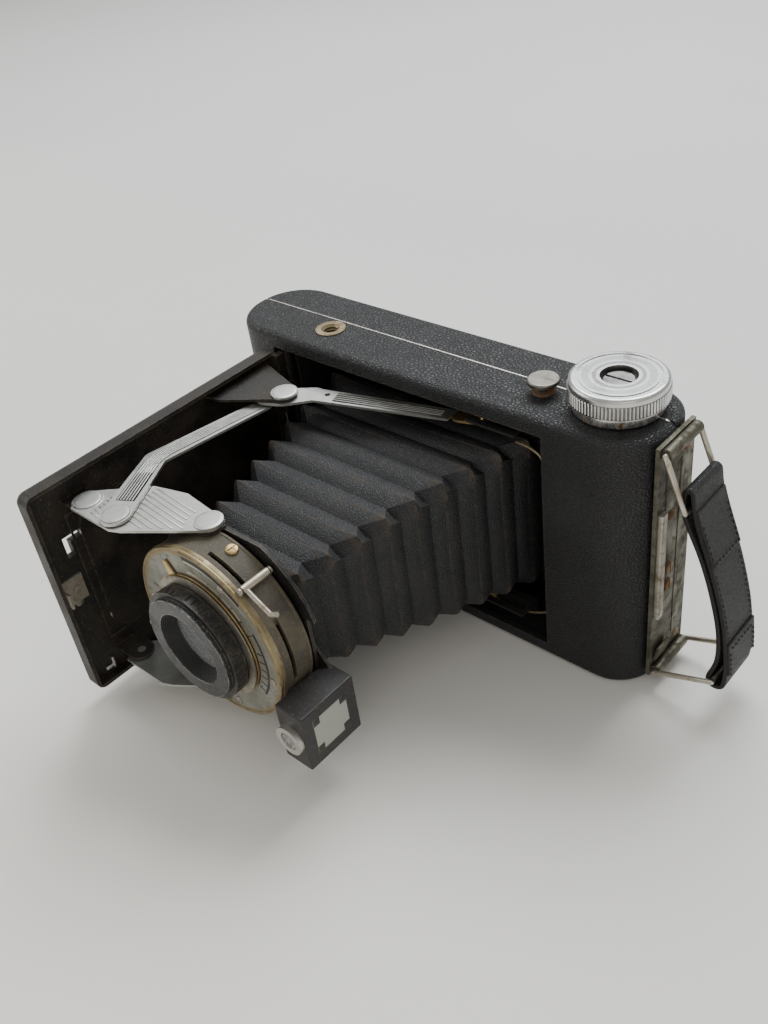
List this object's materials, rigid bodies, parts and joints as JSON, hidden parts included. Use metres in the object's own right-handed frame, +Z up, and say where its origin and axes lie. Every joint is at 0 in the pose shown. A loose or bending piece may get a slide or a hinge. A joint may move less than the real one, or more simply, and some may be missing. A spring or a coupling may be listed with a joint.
{
  "type": "folding roll-film camera",
  "caption": "Folding camera standing on its long side: drop bed on ribbed struts, pleated bellows, round shutter, flip finder, winding knob and wire-loop handle.",
  "frame": {"origin": "centre of the long side the camera stands on, midway along the closed body and through its thickness", "axes": "+X along the body towards the carrying handle, -Y the way the lens looks, +Z up towards the winding knob"},
  "size_m": [0.1802, 0.1299, 0.0943],
  "materials": {
    "body_leather": "black grained leather",
    "nickel": "bright nickel plate, lightly worn",
    "strut_nickel": "dull nickel, ribbed",
    "brass": "aged brass",
    "rusty_steel": "steel with rust spots",
    "black_paint": "satin black enamel",
    "bed_paint": "worn black paint going brown",
    "shutter_paint": "wrinkled dark grey paint",
    "face_nickel": "worn nickel with a brass edge",
    "bellows_leather": "thin black leather, brown at the folds",
    "strap_leather": "smooth black leather strap",
    "lens_glass": "clear",
    "frosted_glass": "frosted",
    "red_glass": "clear red"
  },
  "bodies": {
    "camera_body": {"front_shell": "body_leather", "seam_strip": "nickel", "film_gate": "black_paint", "well_frame": "black_paint", "well_sides": "black_paint", "tripod_bush": "brass", "end_plate": "nickel", "end_screw_upper": "rusty_steel", "end_screw_lower": "rusty_steel", "button_washer": "brass", "bellows": "bellows_leather"},
    "back_door": {"back_shell": "body_leather", "pressure_plate": "rusty_steel", "red_window": "red_glass", "window_rails": "black_paint"},
    "window_slide": {"window_cover": "black_paint"},
    "film_roller_left": {"film_roller_left": "nickel"},
    "film_roller_right": {"film_roller_right": "nickel"},
    "back_latch": {"back_latch": "nickel"},
    "winder": {"knob": "nickel", "knob_screw": "rusty_steel", "takeup_spool": "black_paint"},
    "release_button": {"release_button": "nickel"},
    "bed": {"bed_tray": "bed_paint", "bed_leather": "body_leather", "bed_catch": "nickel"},
    "bed_foot": {"bed_foot": "rusty_steel"},
    "braces": {"brace_upper": "strut_nickel", "brace_lower": "strut_nickel", "brace_tip_upper": "brass", "brace_tip_lower": "brass"},
    "plates": {"plate_upper": "strut_nickel", "plate_lower": "strut_nickel"},
    "links": {"link_upper": "strut_nickel", "link_lower": "strut_nickel"},
    "standard": {"standard": "black_paint", "shutter_case": "shutter_paint", "shutter_face": "face_nickel", "lens_mount": "black_paint", "rear_cell": "black_paint", "rear_glass": "lens_glass", "iris": "rusty_steel", "blade_plate": "rusty_steel", "lever_post": "rusty_steel"},
    "finder": {"finder_box": "black_paint", "finder_ring": "face_nickel", "finder_lens": "lens_glass", "finder_window": "frosted_glass"},
    "focus": {"focus_ring": "black_paint", "front_ring": "face_nickel", "front_glass": "lens_glass"},
    "aperture_pointer": {"aperture_pointer": "brass"},
    "speed_lever": {"speed_lever": "rusty_steel"},
    "release_lever": {"release_lever": "rusty_steel"},
    "shutter_blade_a": {"shutter_blade_a": "rusty_steel"},
    "shutter_blade_b": {"shutter_blade_b": "rusty_steel"},
    "handle_upper": {"handle_loop_upper": "nickel"},
    "carry_strap": {"strap": "strap_leather"},
    "handle_lower": {"handle_loop_lower": "nickel"}
  },
  "joints": [
    {"name": "back_door_hinge", "type": "hinge", "parent": "camera_body", "child": "back_door", "pos_m": [-0.0776, 0.0012, 0.0425], "axis": [0, 0, 1], "range_deg": [0, 110]},
    {"name": "window_slide", "type": "slide", "parent": "back_door", "child": "window_slide", "axis": [1, 0, 0], "range_m": [0, 0.014]},
    {"name": "film_roller_left_spin", "type": "hinge", "parent": "camera_body", "child": "film_roller_left", "pos_m": [-0.0486, 0.008, 0.0425], "axis": [0, 0, 1], "continuous": true},
    {"name": "film_roller_right_spin", "type": "hinge", "parent": "camera_body", "child": "film_roller_right", "pos_m": [0.0442, 0.008, 0.0425], "axis": [0, 0, 1], "continuous": true},
    {"name": "back_latch_slide", "type": "slide", "parent": "camera_body", "child": "back_latch", "axis": [0, 0, 1], "range_m": [0, 0.004]},
    {"name": "winder_spin", "type": "hinge", "parent": "camera_body", "child": "winder", "pos_m": [0.0594, 0.0012, 0.0425], "axis": [0, 0, 1], "continuous": true},
    {"name": "release_press", "type": "slide", "parent": "camera_body", "child": "release_button", "axis": [0, 0, -1], "range_m": [0, 0.002], "stiffness_N_per_m": 400},
    {"name": "bed_hinge", "type": "hinge", "parent": "camera_body", "child": "bed", "pos_m": [-0.053, -0.0136, 0.0425], "axis": [0, 0, 1], "range_deg": [0, 90], "deforming": ["bellows"]},
    {"name": "foot_hinge", "type": "hinge", "parent": "bed", "child": "bed_foot", "pos_m": [-0.0597, -0.059, 0.0425], "axis": [0, 0, -1], "range_deg": [0, 90]},
    {"name": "brace_turn", "type": "hinge", "parent": "bed", "child": "braces", "pos_m": [-0.0371, -0.0304, 0.0425], "axis": [0, 0, 1], "range_deg": [-120, 0]},
    {"name": "plate_turn", "type": "hinge", "parent": "bed", "child": "plates", "pos_m": [-0.0496, -0.0964, 0.0425], "axis": [0, 0, 1], "range_deg": [0, 54]},
    {"name": "link_turn", "type": "hinge", "parent": "plates", "child": "links", "pos_m": [-0.0358, -0.0968, 0.0425], "axis": [0, 0, 1], "range_deg": [-61, 0]},
    {"name": "standard_turn", "type": "hinge", "parent": "plates", "child": "standard", "pos_m": [-0.0124, -0.0837, 0.0425], "axis": [0, 0, 1], "range_deg": [-144, 0]},
    {"name": "finder_turn", "type": "hinge", "parent": "standard", "child": "finder", "pos_m": [0.0155, -0.0819, 0.0385], "axis": [0, -1, 0], "range_deg": [0, 90]},
    {"name": "focus_turn", "type": "hinge", "parent": "standard", "child": "focus", "pos_m": [-0.009, -0.1, 0.0425], "axis": [0, 1, 0], "range_deg": [-90, 180]},
    {"name": "aperture_turn", "type": "hinge", "parent": "standard", "child": "aperture_pointer", "pos_m": [-0.009, -0.0955, 0.0425], "axis": [0, 1, 0], "range_deg": [-18, 18]},
    {"name": "speed_turn", "type": "hinge", "parent": "standard", "child": "speed_lever", "pos_m": [-0.009, -0.0963, 0.0425], "axis": [0, 1, 0], "range_deg": [-25, 25]},
    {"name": "release_turn", "type": "hinge", "parent": "standard", "child": "release_lever", "pos_m": [0.00892, -0.0887, 0.06543], "axis": [0, 1, 0], "range_deg": [0, 15], "stiffness_Nm_per_rad": 0.01},
    {"name": "blade_a_turn", "type": "hinge", "parent": "standard", "child": "shutter_blade_a", "pos_m": [0.011, -0.0915, 0.0425], "axis": [0, 1, 0], "range_deg": [0, 31]},
    {"name": "blade_b_turn", "type": "hinge", "parent": "standard", "child": "shutter_blade_b", "pos_m": [-0.029, -0.0908, 0.0425], "axis": [0, 1, 0], "range_deg": [0, 31]},
    {"name": "handle_upper_swing", "type": "hinge", "parent": "camera_body", "child": "handle_upper", "pos_m": [0.0787, 0, 0.0813], "axis": [0, 1, 0], "range_deg": [-24, 8], "deforming": ["strap"]},
    {"name": "strap_turn", "type": "hinge", "parent": "handle_upper", "child": "carry_strap", "pos_m": [0.0849, 0, 0.066], "axis": [0, 1, 0], "range_deg": [-10.5, 31.4]},
    {"name": "handle_lower_swing", "type": "hinge", "parent": "camera_body", "child": "handle_lower", "pos_m": [0.0787, 0, 0.0051], "axis": [0, 1, 0], "range_deg": [-8.5, 2.9]}
  ],
  "couplings": [
    {"joint": "brace_turn", "follows": "bed_hinge", "ratio": -1.33},
    {"joint": "plate_turn", "follows": "bed_hinge", "ratio": 0.598},
    {"joint": "link_turn", "follows": "bed_hinge", "ratio": -0.676},
    {"joint": "standard_turn", "follows": "bed_hinge", "ratio": -1.598},
    {"joint": "blade_a_turn", "follows": "release_turn", "ratio": 2},
    {"joint": "blade_b_turn", "follows": "release_turn", "ratio": 2},
    {"joint": "strap_turn", "follows": "handle_upper_swing", "ratio": -1.3},
    {"joint": "handle_lower_swing", "follows": "handle_upper_swing", "ratio": 0.35}
  ]
}
